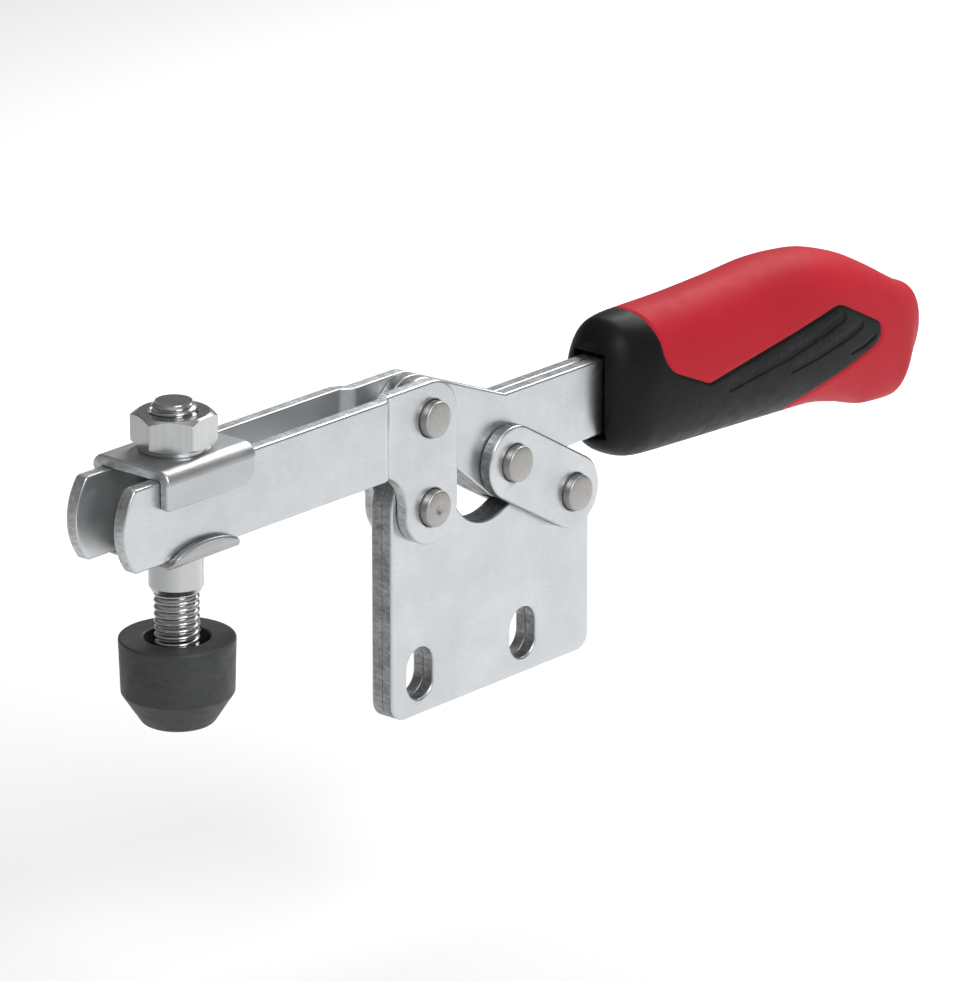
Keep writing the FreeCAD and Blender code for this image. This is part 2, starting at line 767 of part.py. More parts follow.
def make_all():
    """Every sub-part of the clamp, in the order of assembly."""
    lever_pivot = ("0", "lever_pivot_rise")
    knee = ("knee_x", "knee_z")
    link_pivot = ("link_pivot_x", "-link_pivot_drop")
    parts = []
    for name, side in SIDES.items():
        parts.append(make_base_plate(f"base_plate_{name}", side))
        parts.append(make_arm_plate(f"arm_plate_{name}", side))
        parts.append(make_lever_plate(f"lever_plate_{name}", side))
        parts.append(make_link(f"link_{name}", side))
    parts.append(make_pin("main_pin", "0", "0", dimple=True))
    parts.append(make_pin("lever_pin", *lever_pivot))
    parts.append(make_pin("knee_pin", *knee, waist=True))
    parts.append(make_pin("link_pin", *link_pivot))
    parts.append(make_bush("main_bush", "0", "0"))
    parts.append(make_bush("lever_bush", *lever_pivot))
    parts.append(make_bush("link_bush", *link_pivot))
    parts.append(make_screw())
    parts.append(make_nut())
    parts.append(make_saddle())
    parts.append(make_flanged_washer())
    parts.append(make_collar())
    parts.append(make_cap())
    parts.extend(make_grip())
    return parts


def export(parts):
    """Refuse any failed object or broken shape, then write one file for each sub-part."""
    doc.recompute()
    for item in doc.Objects:
        if "Invalid" in item.State or "Error" in item.State:
            raise ValueError(f"{item.Label} did not build")
    for part in parts:
        if part.Shape.isNull() or not part.Shape.isValid():
            raise ValueError(f"{part.Label} has no sound shape")
    os.makedirs("parts", exist_ok=True)
    for part in parts:
        part.Shape.exportStep(f"parts/{part.Label}.step")
        print(part.Label, len(part.Shape.Solids), round(part.Shape.Volume, 1))


fill_sheet()
export(make_all())
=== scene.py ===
import json
import math

import bmesh
import bpy
import numpy as np
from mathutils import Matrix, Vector


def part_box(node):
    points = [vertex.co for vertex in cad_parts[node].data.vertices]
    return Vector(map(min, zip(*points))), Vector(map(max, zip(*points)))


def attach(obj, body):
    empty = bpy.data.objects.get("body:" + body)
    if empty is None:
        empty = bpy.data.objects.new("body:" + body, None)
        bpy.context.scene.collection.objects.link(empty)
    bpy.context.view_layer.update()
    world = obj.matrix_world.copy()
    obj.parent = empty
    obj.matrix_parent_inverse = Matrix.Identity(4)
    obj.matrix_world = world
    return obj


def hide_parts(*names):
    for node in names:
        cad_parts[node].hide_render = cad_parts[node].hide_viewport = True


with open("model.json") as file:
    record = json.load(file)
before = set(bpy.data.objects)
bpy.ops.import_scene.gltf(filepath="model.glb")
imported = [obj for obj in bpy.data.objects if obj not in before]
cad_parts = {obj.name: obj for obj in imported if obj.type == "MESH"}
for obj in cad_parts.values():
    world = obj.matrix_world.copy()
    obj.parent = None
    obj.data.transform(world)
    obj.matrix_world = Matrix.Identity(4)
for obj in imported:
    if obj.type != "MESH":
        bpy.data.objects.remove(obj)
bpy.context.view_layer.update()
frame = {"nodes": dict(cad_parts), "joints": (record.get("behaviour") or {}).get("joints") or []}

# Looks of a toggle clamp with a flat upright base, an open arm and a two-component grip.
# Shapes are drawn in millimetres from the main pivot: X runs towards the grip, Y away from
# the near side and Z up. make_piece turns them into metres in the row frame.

MM = 0.001
JOINTS = {joint["name"]: joint for joint in frame["joints"]}
MAIN_PIVOT = Vector(JOINTS["arm_pivot"]["pos_m"])


def from_main(point):
    """Millimetres from the main pivot of a point in the row frame."""
    return (Vector(point) - MAIN_PIVOT) / MM


def middle(node):
    low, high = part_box(node)
    return from_main((low + high) / 2)


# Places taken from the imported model
LEVER_PIVOT = from_main(JOINTS["lever_pivot"]["pos_m"])
LINK_PIVOT = from_main(JOINTS["link_pivot"]["pos_m"])
KNEE = middle("knee_pin")
SCREW = middle("clamping_screw")
SIDES = {"near": -1, "far": 1}

# Sheets
SHEET = 2.5
PLAY = 0.1
OUTER_FACE = 2 * SHEET + PLAY
BAR_FACE = 6.8
DIE_ROLL = 0.45
BACK_RIM = 0.28
LOBE = 6.8
PIN_RADIUS = 3.3
PIN_HOLE = PIN_RADIUS + 0.06
BUSH_HOLE = 4.53
LEVER_LOW = 0.6
LEVER_HIGH = 14.9
LEVER_END = 64.0
FACE, EDGE, BACK, BACK_EDGE = range(4)

# Screw set
SEAT = 25.3
BAR_HIGH = 23.3
BAR_LOW = 8.5
SEAT_GAP = 0.03
SADDLE_SHEET = 2.0 - SEAT_GAP
WASHER_SHEET = 1.4
HALF_INSIDE = 6.9
BEND_RADIUS = 1.4
BEND_ARC = BEND_RADIUS * math.pi / 2
SCREW_HOLE = 4.3
THREAD_BORE = 4.05
CROWN = 6.2
HEAD_LOW = -16.6
HEAD_HIGH = -11.3

# Grip: distance, top, bottom and half width of its sections, and their roundness
SECTIONS = [
    (48.7, 17.6, -0.8, 5.0),
    (49.9, 19.6, -2.6, 6.5),
    (52.7, 21.5, -4.4, 8.0),
    (57.5, 21.8, -5.8, 9.1),
    (70.0, 21.7, -6.5, 9.6),
    (85.0, 22.1, -7.2, 9.8),
    (97.0, 22.7, -7.8, 10.0),
    (108.0, 21.9, -8.4, 10.0),
    (117.5, 19.4, -10.3, 9.6),
    (126.5, 15.2, -12.8, 9.0),
    (133.0, 11.6, -13.2, 8.3),
    (136.9, 9.5, -8.1, 6.9),
    (140.2, 8.0, -4.6, 5.0),
    (141.6, 5.5, -0.9, 2.6),
]
ROUNDNESS = 2.3


def arc(x, z, radius, start, stop, step=5):
    """Points on an arc, with its angles in degrees."""
    count = max(2, math.ceil(abs(stop - start) / step))
    angles = np.radians(np.linspace(start, stop, count + 1))
    return [Vector((x + radius * math.cos(a), z + radius * math.sin(a))) for a in angles]


def belt(*discs, step=4):
    """Closed outline, run anticlockwise like a belt round discs.

    Each disc is (x, z, radius, turn): turn 1 bulges outwards and -1 inwards.
    A disc with only x and z is a sharp corner.
    """
    wheels = [(Vector(disc[:2]), disc[2] * disc[3] if len(disc) > 2 else 0) for disc in discs]
    ends = []
    for (first, side), (second, next_side) in zip(wheels, wheels[1:] + wheels[:1]):
        reach = second - first
        lean = math.asin((next_side - side) / reach.length)
        heading = math.atan2(reach.y, reach.x) - lean
        normal = Vector((-math.sin(heading), math.cos(heading)))
        ends.append((first - normal * side, second - normal * next_side))
    points = []
    for i, (centre, side) in enumerate(wheels):
        if not side:
            points.append(centre)
            continue
        arrive = ends[i - 1][1] - centre
        leave = ends[i][0] - centre
        start = math.degrees(math.atan2(arrive.y, arrive.x))
        sweep = math.degrees(math.atan2(leave.y, leave.x)) - start
        sweep = sweep % 360 if side > 0 else -(-sweep % 360)
        points += arc(*centre, abs(side), start, start + sweep, step)
    return points


def circle(x, z, radius, step=5):
    """Hole outline, run clockwise."""
    return arc(x, z, radius, 360, 0, step)[:-1]


def drawn_in(outline, inset):
    """The outline moved towards its material."""
    moved = []
    for i, point in enumerate(outline):
        before = (point - outline[i - 1]).normalized()
        after = (outline[(i + 1) % len(outline)] - point).normalized()
        left = Vector((-before.y, before.x))
        right = Vector((-after.y, after.x))
        moved.append(point + (left + right) * (inset / (1 + left.dot(right))))
    return moved


def sheet_blank(outlines, thickness, outer=DIE_ROLL, inner=BACK_RIM, steps=3):
    """Flat sheet with a rounded rim on its outer face, which lies at y 0."""
    turn = [math.radians(90 * k / steps) for k in range(steps + 1)]
    rows = [(outer * (1 - math.sin(a)), outer * (1 - math.cos(a))) for a in turn]
    rows += [(inner * (1 - math.cos(a)), thickness - inner * (1 - math.sin(a))) for a in turn]
    bm = bmesh.new()
    rims = [[], []]
    for outline in outlines:
        rings = []
        for inset, depth in rows:
            moved = drawn_in(outline, inset)
            rings.append([bm.verts.new((point.x, depth, point.y)) for point in moved])
        for k, (ring, following) in enumerate(zip(rings, rings[1:])):
            for i in range(len(ring)):
                j = (i + 1) % len(ring)
                face = bm.faces.new((ring[i], ring[j], following[j], following[i]))
                face.material_index = FACE if k < steps else EDGE if k == steps else BACK_EDGE
        for rim, ring in zip(rims, (rings[0], rings[-1])):
            rim += [bm.edges.get((ring[i - 1], ring[i])) for i in range(len(ring))]
    for rim, index in zip(rims, (FACE, BACK)):
        filled = bmesh.ops.triangle_fill(bm, edges=rim, use_beauty=True)
        for item in filled["geom"]:
            if isinstance(item, bmesh.types.BMFace):
                item.material_index = index
    return bm


def cut_along(bm, axis, places):
    """Divide the mesh by planes across an axis, so that it can bend there."""
    normal = Vector((0, 0, 0))
    normal[axis] = 1
    for place in places:
        geometry = bm.verts[:] + bm.edges[:] + bm.faces[:]
        bmesh.ops.bisect_plane(bm, geom=geometry, plane_co=normal * place, plane_no=normal)


def shift(bm, move):
    """Move every vertex to where the function puts it."""
    for vertex in bm.verts:
        vertex.co = Vector(move(*vertex.co))


def turned(profile, segments=96, axis="Z", closed=False):
    """Surface of revolution of points (radius, height)."""
    bm = bmesh.new()
    rings = []
    for radius, height in profile:
        count = 1 if radius == 0 else segments
        ring = []
        for k in range(count):
            angle = 2 * math.pi * k / count
            x, y = radius * math.cos(angle), radius * math.sin(angle)
            ring.append(bm.verts.new((x, y, height) if axis == "Z" else (x, height, y)))
        rings.append(ring)
    pairs = list(zip(rings, rings[1:]))
    if closed:
        pairs.append((rings[-1], rings[0]))
    for ring, following in pairs:
        for k in range(segments):
            corners = []
            for vertex in (ring[k % len(ring)], ring[(k + 1) % len(ring)],
                           following[(k + 1) % len(following)], following[k % len(following)]):
                if vertex not in corners:
                    corners.append(vertex)
            if len(corners) > 2:
                bm.faces.new(corners)
    return bm


def make_piece(name, bm, finishes, body, at=(0, 0, 0), sharp=32):
    """Object of the mesh, riding on a body and standing for the CAD node of its name."""
    bmesh.ops.recalc_face_normals(bm, faces=bm.faces)
    bmesh.ops.scale(bm, vec=(MM, MM, MM), verts=bm.verts)
    mesh = bpy.data.meshes.new(name)
    bm.to_mesh(mesh)
    bm.free()
    mesh.polygons.foreach_set("use_smooth", [True] * len(mesh.polygons))
    mesh.set_sharp_from_angle(angle=math.radians(sharp))
    for finish in finishes:
        mesh.materials.append(finish)
    piece = bpy.data.objects.new(f"{name}_look", mesh)
    bpy.context.scene.collection.objects.link(piece)
    piece.location = MAIN_PIVOT + Vector(at) * MM
    weighted = piece.modifiers.new("even_shading", "WEIGHTED_NORMAL")
    weighted.keep_sharp = True
    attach(piece, body)
    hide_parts(name)
    return piece


# Materials

class Finish:
    """Procedural material: one shader, with patterns for its colour, roughness and bumps."""

    def __init__(self, name, colour, roughness, metallic=0.0, **settings):
        self.material = bpy.data.materials.new(name)
        self.material.use_nodes = True
        self.nodes = self.material.node_tree.nodes
        self.links = self.material.node_tree.links
        self.shader = self.nodes["Principled BSDF"]
        self.shader.inputs["Base Color"].default_value = (*colour, 1)
        self.shader.inputs["Roughness"].default_value = roughness
        self.shader.inputs["Metallic"].default_value = metallic
        for setting, value in settings.items():
            self.shader.inputs[setting.replace("_", " ")].default_value = value
        self.place = self.nodes.new("ShaderNodeTexCoord").outputs["Object"]
        self.colour = None
        self.base = colour
        self.normal = None

    def noise(self, size_mm, stretch=(1, 1, 1), detail=3, rough=0.5):
        """Noise with features of about the size, drawn out along an axis by its stretch."""
        mapping = self.nodes.new("ShaderNodeMapping")
        mapping.inputs["Scale"].default_value = [1 / (size_mm * MM * s) for s in stretch]
        texture = self.nodes.new("ShaderNodeTexNoise")
        texture.inputs["Scale"].default_value = 1
        texture.inputs["Detail"].default_value = detail
        texture.inputs["Roughness"].default_value = rough
        self.links.new(self.place, mapping.inputs["Vector"])
        self.links.new(mapping.outputs["Vector"], texture.inputs["Vector"])
        return texture.outputs["Fac"]

    def rings(self, pitch_mm, axis, distortion=0.6):
        """Turning marks round an axis of the piece."""
        texture = self.nodes.new("ShaderNodeTexWave")
        texture.wave_type = "RINGS"
        texture.rings_direction = axis
        texture.inputs["Scale"].default_value = math.pi / 10 / (pitch_mm * MM)
        texture.inputs["Distortion"].default_value = distortion
        texture.inputs["Detail"].default_value = 2
        self.links.new(self.place, texture.inputs["Vector"])
        return texture.outputs["Fac"]

    def spread(self, pattern, low, high, start=0.3, stop=0.7):
        """The pattern mapped to a range."""
        node = self.nodes.new("ShaderNodeMapRange")
        node.inputs["From Min"].default_value = start
        node.inputs["From Max"].default_value = stop
        node.inputs["To Min"].default_value = low
        node.inputs["To Max"].default_value = high
        self.links.new(pattern, node.inputs["Value"])
        return node.outputs["Result"]

    def tint(self, pattern, low, high, start=0.3, stop=0.7):
        """Darken and lighten the colour with the pattern."""
        node = self.nodes.new("ShaderNodeVectorMath")
        node.operation = "SCALE"
        node.inputs[0].default_value = self.base
        if self.colour is not None:
            self.links.new(self.colour, node.inputs[0])
        self.links.new(self.spread(pattern, low, high, start, stop), node.inputs["Scale"])
        self.colour = node.outputs["Vector"]
        self.links.new(self.colour, self.shader.inputs["Base Color"])

    def roughen(self, pattern, low, high, start=0.3, stop=0.7):
        self.links.new(self.spread(pattern, low, high, start, stop),
                       self.shader.inputs["Roughness"])

    def bump(self, pattern, height_mm):
        node = self.nodes.new("ShaderNodeBump")
        node.inputs["Distance"].default_value = height_mm * MM
        self.links.new(pattern, node.inputs["Height"])
        if self.normal is not None:
            self.links.new(self.normal, node.inputs["Normal"])
        self.normal = node.outputs["Normal"]
        self.links.new(self.normal, self.shader.inputs["Normal"])


def zinc_face(name, colour, roughness=0.31, grain=(1, 1, 1)):
    """Satin zinc plating on rolled sheet, faintly cloudy and lightly scratched."""
    finish = Finish(name, colour, roughness, metallic=1.0)
    finish.tint(finish.noise(14, detail=4), 0.94, 1.06)
    finish.tint(finish.noise(0.5, grain, detail=4, rough=0.65), 0.96, 1.04)
    finish.roughen(finish.noise(5, detail=5, rough=0.6), roughness - 0.05, roughness + 0.07)
    finish.bump(finish.noise(0.35, grain, detail=5, rough=0.7), 0.004)
    finish.bump(finish.noise(9, detail=2), 0.05)
    return finish.material


def zinc_edge(name, colour, contrast):
    """Stamped edge of the sheet: plated over a torn, speckled surface."""
    finish = Finish(name, colour, 0.42, metallic=1.0)
    finish.tint(finish.noise(0.7, (1, 2.2, 1), detail=5, rough=0.7), 1 - contrast, 1 + contrast)
    finish.tint(finish.noise(4, detail=3), 0.8, 1.15)
    finish.roughen(finish.noise(0.8, detail=4), 0.3, 0.6)
    finish.bump(finish.noise(0.4, (1, 3, 1), detail=5, rough=0.7), 0.07)
    return finish.material


def turned_steel(name, colour, roughness, axis, pitch_mm, wear):
    """Turned steel with fine marks round its axis."""
    finish = Finish(name, colour, roughness, metallic=1.0)
    finish.tint(finish.rings(pitch_mm, axis), 1 - wear, 1 + wear, 0, 1)
    finish.tint(finish.noise(1.1, detail=5, rough=0.65), 1 - 1.4 * wear, 1 + 1.2 * wear)
    finish.roughen(finish.noise(1.6, detail=4), roughness - 0.4 * wear, roughness + wear)
    finish.bump(finish.rings(pitch_mm, axis), 0.06 * wear)
    finish.bump(finish.noise(0.5, detail=4, rough=0.6), 0.1 * wear)
    return finish.material


def moulded_red():
    """Hard moulded plastic with a fine satin texture."""
    finish = Finish("moulded_red", (0.445, 0.019, 0.031), 0.50, Specular_IOR_Level=0.08)
    finish.tint(finish.noise(18, detail=3), 0.93, 1.06)
    finish.roughen(finish.noise(3, detail=4), 0.46, 0.56)
    finish.bump(finish.noise(0.28, detail=3, rough=0.6), 0.012)
    finish.bump(finish.noise(10, detail=2), 0.05)
    return finish.material


def soft_black():
    """Soft elastomer with a matt moulded grain."""
    finish = Finish("soft_black", (0.0065, 0.007, 0.0072), 0.42, Specular_IOR_Level=0.11)
    finish.tint(finish.noise(6, detail=4), 0.8, 1.25)
    finish.roughen(finish.noise(2.5, detail=4), 0.36, 0.50)
    finish.bump(finish.noise(0.22, detail=3, rough=0.65), 0.016)
    return finish.material


def cap_rubber():
    """Matt rubber with a faint bloom."""
    finish = Finish("cap_rubber", (0.033, 0.035, 0.036), 0.50, Specular_IOR_Level=0.4)
    finish.tint(finish.noise(3.5, (1, 1, 0.35), detail=5, rough=0.65), 0.75, 1.3)
    finish.roughen(finish.noise(2, detail=4), 0.42, 0.58)
    finish.bump(finish.noise(0.3, detail=4, rough=0.6), 0.02)
    return finish.material


def bush_bronze():
    """Sintered bearing bronze."""
    finish = Finish("bush_bronze", (0.42, 0.27, 0.13), 0.45, metallic=1.0)
    finish.tint(finish.noise(0.6, detail=5, rough=0.7), 0.8, 1.15)
    finish.roughen(finish.noise(1.2), 0.38, 0.55)
    finish.bump(finish.noise(0.3, detail=4), 0.02)
    return finish.material


ZINC = zinc_face("zinc_sheet", (0.575, 0.595, 0.607), grain=(3, 1, 1))
# Back faces: a lighter copy of the same plating, painted light that brightens the inner faces
# lying in shade
BACK_ZINC_PAINTED_LIGHT = zinc_face("zinc_sheet_back_painted_light", (0.74, 0.755, 0.765), roughness=0.42)
# Saddle: a darker copy of the plating, painted shade that sets it apart from the bars beneath it
FORMED_ZINC_PAINTED_SHADE = zinc_face("zinc_formed_painted_shade", (0.535, 0.547, 0.556), roughness=0.40)
# Flanged washer: a still darker copy of the plating, painted shade and dark reflection on its
# bent-up sides
WASHER_ZINC_PAINTED_SHADE = zinc_face("zinc_washer_painted_shade", (0.44, 0.445, 0.45), roughness=0.36)
# Edges of the base, lever, link and flanged washer, and back rims of base and link: a dark copy of
# the edge plating, partly the torn edge's own dull tone, mostly painted shade for dark edges and
# contact lines between plates
EDGE_ZINC_PAINTED_SHADE = zinc_edge("zinc_sheet_edge_painted_shade", (0.31, 0.315, 0.32), 0.42)
# Edges of the arm bars and the saddle: a lighter copy of the edge plating, painted light on edges
# that face the open, lit side
BAR_EDGE_PAINTED_LIGHT = zinc_edge("zinc_bar_edge_painted_light", (0.54, 0.55, 0.555), 0.35)
NUT_STEEL = turned_steel("nut_steel", (0.51, 0.517, 0.52), 0.20, "Z", 0.35, 0.03)
PIN_STEEL = turned_steel("pin_steel", (0.42, 0.41, 0.398), 0.42, "Y", 0.42, 0.06)
RED = moulded_red()
BLACK = soft_black()
RUBBER = cap_rubber()
BRONZE = bush_bronze()


# Plates

# The back rim takes the contact finish; the dark edge copy there paints a shaded contact line
# between touching plates
def make_plate(name, outlines, side, outer_face, body, edge=EDGE_ZINC_PAINTED_SHADE, joggle=None,
               contact=EDGE_ZINC_PAINTED_SHADE):
    """Stamped plate whose outer face lies at a distance from the middle plane."""
    bm = sheet_blank(outlines, SHEET)
    if joggle is None:
        shift(bm, lambda x, y, z: (x, side * (outer_face - y), z))
    else:
        start, stop, offset = joggle
        cut_along(bm, 0, np.linspace(start, stop, 7))

        def bar(x, y, z):
            share = min(1, max(0, (stop - x) / (stop - start)))
            return x, side * (outer_face + offset * share * share * (3 - 2 * share) - y), z
        shift(bm, bar)
    return make_piece(name, bm, [ZINC, edge, BACK_ZINC_PAINTED_LIGHT, contact], body)


def base_outlines():
    front, rear, drop = -8.0, LINK_PIVOT.x + 7.0, 39.3
    front_corner, rear_corner, recess = 3.5, 3.0, (17.7, 2.3, 9.8, -1)
    outlines = [belt(
        (0, 0, -front, 1),
        (front + front_corner, front_corner - drop, front_corner, 1),
        (rear - rear_corner, rear_corner - drop, rear_corner, 1),
        (LINK_PIVOT.x, LINK_PIVOT.z, rear - LINK_PIVOT.x, 1),
        recess,
    )]
    outlines.append(circle(0, 0, BUSH_HOLE))
    outlines.append(circle(LINK_PIVOT.x, LINK_PIVOT.z, BUSH_HOLE))
    slot_radius, half_travel, slot_pitch = 3.5, 1.25, 28.0
    slot_centre = from_main((0, 0, 0))
    for x in (slot_centre.x, slot_centre.x + slot_pitch):
        slot = belt((x, slot_centre.z - half_travel, slot_radius, 1),
                    (x, slot_centre.z + half_travel, slot_radius, 1))
        outlines.append(slot[::-1])
    return outlines


def arm_outlines():
    tip_x, tip_radius, corner_x, corner = -68.8, 11.1, -76.6, 1.2
    throat_x, throat = -14.0, 7.2
    outline = belt(
        (0, 0, LOBE, 1),
        (LEVER_PIVOT.x, LEVER_PIVOT.z, LOBE, 1),
        (corner_x, BAR_HIGH - corner, corner, 1),
        (tip_x, (BAR_LOW + BAR_HIGH) / 2, tip_radius, 1),
        (corner_x, BAR_LOW + corner, corner, 1),
        (throat_x, BAR_LOW - throat, throat, -1),
    )
    return [outline, circle(0, 0, PIN_HOLE), circle(LEVER_PIVOT.x, LEVER_PIVOT.z, PIN_HOLE)]


def lever_outlines():
    nose, blend, crank_x = 6.9, 1.0, 22.6
    main_clearance, heel = 9.3, (9.9, 4.6, 0.6, 1)
    drop = KNEE.z - LEVER_LOW + blend
    blend_x = KNEE.x + math.sqrt((nose + blend) ** 2 - drop ** 2) + PLAY
    outline = belt(
        (LEVER_PIVOT.x, LEVER_PIVOT.z, LOBE, 1),
        (0, 0, main_clearance, -1),
        heel,
        (KNEE.x, KNEE.z, nose, 1),
        (blend_x, LEVER_LOW - blend, blend, -1),
        (LEVER_END, LEVER_LOW),
        (LEVER_END, LEVER_HIGH),
        (crank_x, LEVER_HIGH),
    )
    return [outline, circle(LEVER_PIVOT.x, LEVER_PIVOT.z, BUSH_HOLE),
            circle(KNEE.x, KNEE.z, PIN_HOLE)]


def link_outlines():
    outline = belt((LINK_PIVOT.x, LINK_PIVOT.z, LOBE, 1), (KNEE.x, KNEE.z, LOBE, 1))
    return [outline, circle(KNEE.x, KNEE.z, PIN_HOLE),
            circle(LINK_PIVOT.x, LINK_PIVOT.z, PIN_HOLE)]


def make_plates():
    joggle = (-14.2, -11.1, BAR_FACE - OUTER_FACE)
    for name, side in SIDES.items():
        make_plate(f"base_plate_{name}", base_outlines(), side, SHEET, "base")
        make_plate(f"lever_plate_{name}", lever_outlines(), side, SHEET, "lever", contact=ZINC)
        make_plate(f"link_{name}", link_outlines(), side, OUTER_FACE, "link")
        make_plate(f"arm_plate_{name}", arm_outlines(), side, OUTER_FACE, "arm",
                   edge=BAR_EDGE_PAINTED_LIGHT, joggle=joggle, contact=ZINC)


# Pins

def make_pins():
    """Rivet pins with slightly domed ends; the main pin has a small centre mark."""
    half, rounding, fall = 6.75, 0.4, 0.08
    plain, mark = [(0, 0)], [(0, 0.4), (0.54, 0.32), (0.9, 0.03), (1.1, 0)]
    corner = arc(PIN_RADIUS - rounding, -rounding - fall, rounding, 80, 0, 16)
    rim = [(PIN_RADIUS / 2, 0.02)] + [(point.x, -point.y) for point in corner]
    places = {"main_pin": (Vector((0, 0, 0)), "arm", mark),
              "lever_pin": (LEVER_PIVOT, "arm", plain),
              "knee_pin": (KNEE, "link", plain),
              "link_pin": (LINK_PIVOT, "link", plain)}
    for name, (at, body, centre) in places.items():
        end = centre + rim
        profile = [(radius, depth - half) for radius, depth in end]
        profile += [(radius, half - depth) for radius, depth in end[::-1]]
        make_piece(name, turned(profile, axis="Y"), [PIN_STEEL], body,
                   at=(at.x, 0, at.z))


# Screw set

def bend_flaps(bm, seat, sign, sheet, step=0.0):
    """Bend a flat blank, drawn in x and z, into a channel whose flaps go up or down.

    The outer face of a flap may lie a fine step behind its bend.
    """
    steps = 8
    half_flat = HALF_INSIDE + sheet / 2 - BEND_RADIUS
    flat_z = seat - sheet / 2
    lines = [half_flat + BEND_ARC * k / steps for k in range(steps + 1)]
    lines.append(half_flat + BEND_ARC + 0.15)
    cut_along(bm, 2, [-line for line in lines] + lines)

    def bent(x, y, z):
        out = sheet / 2 - y
        past = abs(z) - half_flat
        if past <= 0:
            return x, z, flat_z - sign * out
        if past > BEND_ARC + 0.1 and out > 0:
            out -= step
        turn = min(past, BEND_ARC) / BEND_RADIUS
        radius = BEND_RADIUS + out
        across = half_flat + radius * math.sin(turn)
        down = BEND_RADIUS - radius * math.cos(turn) + max(0, past - BEND_ARC)
        return x, math.copysign(across, z), flat_z + sign * down
    shift(bm, bent)


def make_saddle():
    """Washer plate folded down over both bars."""
    half_length, flap, large, small = 10.9, 13.4, 2.6, 0.9
    outline = belt(
        (-half_length + small, small - flap, small, 1),
        (half_length - large, large - flap, large, 1),
        (half_length - large, flap - large, large, 1),
        (-half_length + small, flap - small, small, 1),
    )
    bm = sheet_blank([outline, circle(0, 0, SCREW_HOLE)], SADDLE_SHEET, outer=0.5, inner=0.3)
    bend_flaps(bm, SEAT, -1, SADDLE_SHEET, step=0.25)
    make_piece("saddle_washer", bm, [FORMED_ZINC_PAINTED_SHADE, BAR_EDGE_PAINTED_LIGHT, FORMED_ZINC_PAINTED_SHADE, BAR_EDGE_PAINTED_LIGHT],
               "screw_carrier", at=(SCREW.x, 0, 0))


def make_flanged_washer():
    """Washer whose two rounded sides are bent up outside the bars."""
    half_length, off_centre, straight, round_rise, step = 8.6, -0.6, 6.8, 3.3, 4
    outline = []
    for a in np.radians(range(0, 360, step)):
        rise = round_rise * math.sin(a)
        outline.append(Vector((off_centre + half_length * math.cos(a),
                               rise + math.copysign(straight, rise))))
    bm = sheet_blank([outline, circle(0, 0, SCREW_HOLE)], WASHER_SHEET, outer=0.45, inner=0.25)
    bend_flaps(bm, BAR_LOW - SEAT_GAP, 1, WASHER_SHEET)
    make_piece("flanged_washer", bm, [WASHER_ZINC_PAINTED_SHADE, EDGE_ZINC_PAINTED_SHADE, WASHER_ZINC_PAINTED_SHADE, EDGE_ZINC_PAINTED_SHADE],
               "screw_carrier", at=(SCREW.x, 0, 0))


def hexagon_mesh(rows, apothem=6.5, corner=7.46, turn=39):
    """Rings of (radius or None for the hexagon, height, drop at the corners), joined in a loop."""
    slope = math.tan(math.radians(30))
    across_flat = [-29.3, *range(-28, 30, 4), 29.3, 30]
    bm = bmesh.new()
    columns = []
    for flat, from_flat in ((flat, angle) for flat in range(6) for angle in across_flat):
        angle = turn + 60 * flat + from_flat
        side = min(corner, apothem / math.cos(math.radians(from_flat)))
        column = []
        for radius, height, drop in rows:
            reach = side if radius is None else radius
            level = height + drop * (side - CROWN) * slope
            heading = math.radians(angle)
            x, y = reach * math.cos(heading), reach * math.sin(heading)
            column.append(bm.verts.new((x, y, level)))
        columns.append(column)
    for i, column in enumerate(columns):
        following = columns[(i + 1) % len(columns)]
        for j in range(len(rows)):
            k = (j + 1) % len(rows)
            bm.faces.new((column[j], following[j], following[k], column[k]))
    bmesh.ops.remove_doubles(bm, verts=bm.verts, dist=0.001)
    return bm


def make_nut():
    """Hexagon nut with a chamfered crown and a thin round foot."""
    mouth, depth, foot, bevel, height = 4.4, 0.35, 0.7, 0.15, 6.5
    low, high = SEAT, SEAT + height
    bm = hexagon_mesh([
        (THREAD_BORE, low + depth, 0), (mouth, low, 0),
        (CROWN - bevel, low, 0), (CROWN, low + bevel, 0),
        (CROWN, low + foot, 0), (None, low + foot, 1),
        (None, high, -1), (CROWN, high, 0),
        (mouth, high, 0), (THREAD_BORE, high - depth, 0),
    ])
    make_piece("hex_nut", bm, [NUT_STEEL], "screw_carrier", at=(SCREW.x, 0, 0),
               sharp=20)


